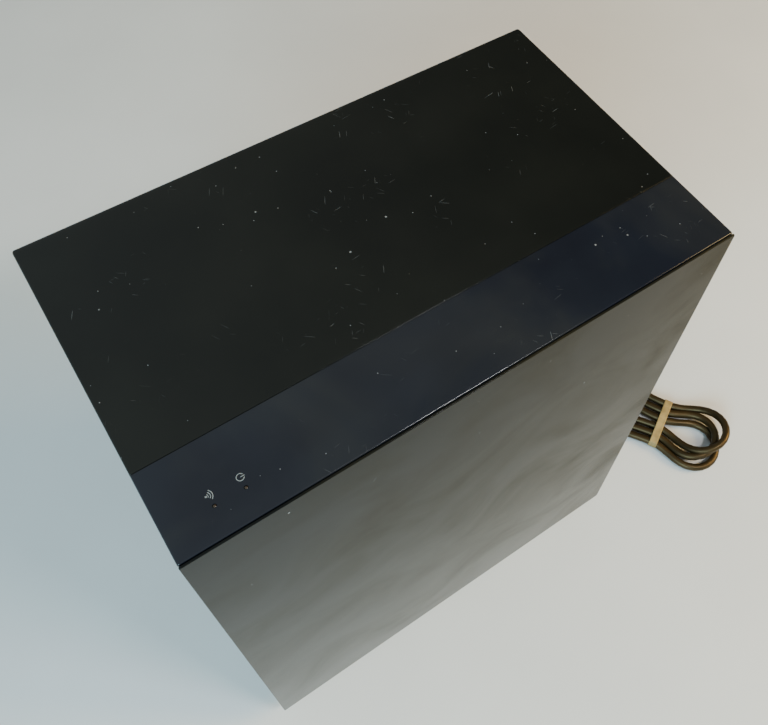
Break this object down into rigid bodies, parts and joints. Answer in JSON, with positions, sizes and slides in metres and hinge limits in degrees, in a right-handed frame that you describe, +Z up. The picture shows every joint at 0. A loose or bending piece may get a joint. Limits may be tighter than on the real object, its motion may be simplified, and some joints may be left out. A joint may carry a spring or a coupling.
{
  "type": "wireless home-theatre subwoofer",
  "caption": "Slim upright powered subwoofer: vinyl-wrapped box, gloss front cover and panel, front woofer, rear port and amplifier plate, mains lead in a taped hank.",
  "frame": {"origin": "on the floor at the centre of the box's footprint, leaving the mains lead out", "axes": "+Z up, the gloss front faces -Y, +X to the right seen from the front"},
  "size_m": [0.4281, 0.2863, 0.3645],
  "materials": {
    "aluminium": "extruded",
    "board": "bare fibreboard",
    "brass": "nickel plated",
    "cloth": "resin-dipped cloth",
    "copper": "enamelled copper wire",
    "felt": "white polyester felt",
    "ferrite": "sintered ferrite",
    "flex": "black flexible PVC sheath",
    "foam": "black foam",
    "gloss": "gloss black moulding",
    "led": "white LED",
    "lens": "smoked light pipe, unlit",
    "painted_board": "fibreboard painted matt black",
    "panel": "mirror gloss black panel with fine scratches",
    "paper": "black pressed pulp",
    "paper_tape": "beige paper tape",
    "pcb": "green circuit board",
    "plastic": "matt black",
    "plate": "fine textured black",
    "rubber": "matt black",
    "sleeve": "shrink sleeve",
    "steel": "zinc plated",
    "vinyl": "fibreboard wrapped in satin black vinyl",
    "winding": "yellow winding tape"
  },
  "bodies": {
    "cabinet": {"cabinet_shell": "vinyl", "baffle_board": "board", "rear_board": "painted_board", "damping_felt": "felt", "front_cover": "gloss", "front_panel": "panel", "panel_tape": "foam", "slot_grille": "plastic", "foot_front_left": "rubber", "foot_front_right": "rubber", "foot_rear_left": "rubber", "foot_rear_right": "rubber", "power_lens": "lens", "link_lens": "lens", "power_led": "led", "link_led": "led", "lamp_board": "pcb", "lamp_cable": "flex", "woofer_basket": "plate", "woofer_gasket": "foam", "woofer_top_plate": "steel", "woofer_magnet": "ferrite", "woofer_back_plate": "steel", "woofer_surround": "rubber", "woofer_spider": "cloth", "woofer_terminal": "pcb", "speaker_cable": "flex", "port_tube": "plastic", "amp_plate": "plate", "amp_board": "pcb", "heat_sink": "aluminium", "switching_transformer": "winding", "mains_capacitor": "sleeve", "output_capacitor": "sleeve", "radio_module": "steel", "pairing_switch": "plastic", "switch_board": "pcb", "strain_relief": "rubber", "cord_lead": "flex", "cord_hank": "flex", "cord_tape": "paper_tape", "plug_body": "flex", "plug_pin_left": "brass", "plug_pin_right": "brass", "woofer_screw_1": "steel", "plate_screw_1": "steel", "board_standoff_1": "brass", "woofer_screw_2": "steel", "plate_screw_2": "steel", "board_standoff_2": "brass", "woofer_screw_3": "steel", "plate_screw_3": "steel", "board_standoff_3": "brass", "woofer_screw_4": "steel", "plate_screw_4": "steel", "board_standoff_4": "brass"},
    "woofer_moving": {"woofer_cone": "paper", "woofer_dust_cap": "paper", "voice_coil": "copper"},
    "pairing_button_body": {"pairing_button": "plastic"}
  },
  "joints": [
    {"name": "woofer_excursion", "type": "slide", "parent": "cabinet", "child": "woofer_moving", "axis": [0, -1, 0], "range_m": [-0.005, 0.005], "stiffness_N_per_m": 1600, "deforming": ["woofer_surround", "woofer_spider"]},
    {"name": "pairing_press", "type": "slide", "parent": "cabinet", "child": "pairing_button_body", "axis": [0, -1, 0], "range_m": [0, 0.0008], "stiffness_N_per_m": 700}
  ]
}
